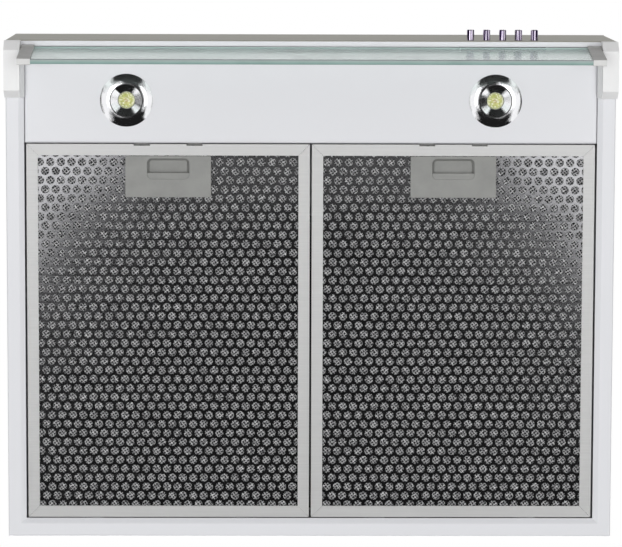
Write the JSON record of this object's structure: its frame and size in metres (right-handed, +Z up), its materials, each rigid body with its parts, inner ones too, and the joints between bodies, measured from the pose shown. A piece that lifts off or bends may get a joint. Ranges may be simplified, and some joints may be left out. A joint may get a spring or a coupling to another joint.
{
  "type": "range hood",
  "caption": "Slim under-cabinet range hood: white steel body, tilting glass visor, push buttons, spot lamps, drop-down perforated grease filters and a flat blower behind them.",
  "frame": {"origin": "centre of the four cabinet screw holes, on the top face", "axes": "+X to the right as the cook sees it, -Y to the front, +Z up"},
  "size_m": [0.6, 0.5045, 0.2347],
  "materials": {
    "white_paint": "smooth gloss stove enamel",
    "fascia_paint": "champagne metallic satin lacquer",
    "bracket_plastic": "fine moulded texture",
    "arm_plastic": "fine moulded texture",
    "visor_glass": "clear float glass with green edges",
    "chrome": "polished",
    "lamp_lens": "yellow LED phosphor under a clear dome",
    "heat_sink": "as cast",
    "filter_frame": "satin rolled",
    "filter_face": "polished perforated sheet",
    "filter_mesh": "expanded mesh, bright strands",
    "latch_plastic": "fine moulded texture",
    "spring_steel": "blank spring strip",
    "black_plastic": "moulded",
    "impeller_plastic": "moulded",
    "motor_steel": "galvanised",
    "capacitor_plastic": "moulded can",
    "box_plastic": "moulded",
    "screw_steel": "zinc plated"
  },
  "bodies": {
    "hood": {"top_panel": "white_paint", "left_side_panel": "white_paint", "right_side_panel": "white_paint", "rear_panel": "white_paint", "light_panel": "white_paint", "front_fascia": "fascia_paint", "left_corner_bracket": "bracket_plastic", "right_corner_bracket": "bracket_plastic", "left_lamp_ring": "chrome", "right_lamp_ring": "chrome", "left_lamp_reflector": "chrome", "right_lamp_reflector": "chrome", "left_lamp_lens": "lamp_lens", "right_lamp_lens": "lamp_lens", "left_lamp_heat_sink": "heat_sink", "right_lamp_heat_sink": "heat_sink", "flap_rod": "spring_steel", "blower_scroll": "black_plastic", "inlet_guard": "black_plastic", "switch_block": "black_plastic", "duct_collar": "black_plastic", "cable_gland": "black_plastic", "motor": "motor_steel", "capacitor": "capacitor_plastic", "terminal_box": "box_plastic", "terminal_box_lid": "box_plastic", "led_driver": "box_plastic", "bracket_screws": "screw_steel", "motor_screws": "screw_steel", "scroll_screws": "screw_steel", "collar_screws": "screw_steel"},
    "visor": {"visor_glass": "visor_glass", "visor_left_arm": "arm_plastic", "visor_right_arm": "arm_plastic", "visor_pins": "spring_steel"},
    "impeller": {"impeller": "impeller_plastic", "motor_shaft": "spring_steel"},
    "front_flap": {"front_flap": "black_plastic"},
    "rear_flap": {"rear_flap": "black_plastic"},
    "left_filter": {"left_filter_frame": "filter_frame", "left_filter_face": "filter_face", "left_filter_mesh": "filter_mesh", "left_filter_back": "filter_frame", "left_filter_ears": "filter_frame", "left_latch_spring": "spring_steel"},
    "left_latch": {"left_latch_handle": "latch_plastic"},
    "right_filter": {"right_filter_frame": "filter_frame", "right_filter_face": "filter_face", "right_filter_mesh": "filter_mesh", "right_filter_back": "filter_frame", "right_filter_ears": "filter_frame", "right_latch_spring": "spring_steel"},
    "right_latch": {"right_latch_handle": "latch_plastic"},
    "button_1": {"button_1": "chrome"},
    "button_2": {"button_2": "chrome"},
    "button_3": {"button_3": "chrome"},
    "button_4": {"button_4": "chrome"},
    "button_5": {"button_5": "chrome"}
  },
  "joints": [
    {"name": "visor_tilt", "type": "hinge", "parent": "hood", "child": "visor", "pos_m": [0, -0.2377, -0.134], "axis": [-1, 0, 0], "range_deg": [0, 70]},
    {"name": "fan_spin", "type": "hinge", "parent": "hood", "child": "impeller", "pos_m": [-0.063, 0.022, -0.0668], "axis": [0, 0, 1], "continuous": true},
    {"name": "front_flap_swing", "type": "hinge", "parent": "hood", "child": "front_flap", "pos_m": [0, 0.165, 0.014], "axis": [-1, 0, 0], "range_deg": [0, 72]},
    {"name": "rear_flap_swing", "type": "hinge", "parent": "hood", "child": "rear_flap", "pos_m": [0, 0.165, 0.014], "axis": [1, 0, 0], "range_deg": [0, 72]},
    {"name": "left_filter_drop", "type": "hinge", "parent": "hood", "child": "left_filter", "pos_m": [-0.1406, 0.22965, -0.12574], "axis": [1, 0, 0], "range_deg": [0, 50]},
    {"name": "left_latch_slide", "type": "slide", "parent": "left_filter", "child": "left_latch", "axis": [0, 1, 0], "range_m": [0, 0.006], "stiffness_N_per_m": 300, "deforming": ["left_latch_spring"]},
    {"name": "right_filter_drop", "type": "hinge", "parent": "hood", "child": "right_filter", "pos_m": [0.1406, 0.22965, -0.12574], "axis": [1, 0, 0], "range_deg": [0, 50]},
    {"name": "right_latch_slide", "type": "slide", "parent": "right_filter", "child": "right_latch", "axis": [0, 1, 0], "range_m": [0, 0.006], "stiffness_N_per_m": 300, "deforming": ["right_latch_spring"]},
    {"name": "button_1_press", "type": "slide", "parent": "hood", "child": "button_1", "axis": [0, 1, 0], "range_m": [0, 0.0035], "stiffness_N_per_m": 250},
    {"name": "button_2_press", "type": "slide", "parent": "hood", "child": "button_2", "axis": [0, 1, 0], "range_m": [0, 0.0035], "stiffness_N_per_m": 250},
    {"name": "button_3_press", "type": "slide", "parent": "hood", "child": "button_3", "axis": [0, 1, 0], "range_m": [0, 0.0035], "stiffness_N_per_m": 250},
    {"name": "button_4_press", "type": "slide", "parent": "hood", "child": "button_4", "axis": [0, 1, 0], "range_m": [0, 0.0035], "stiffness_N_per_m": 250},
    {"name": "button_5_press", "type": "slide", "parent": "hood", "child": "button_5", "axis": [0, 1, 0], "range_m": [0, 0.0035], "stiffness_N_per_m": 250}
  ]
}
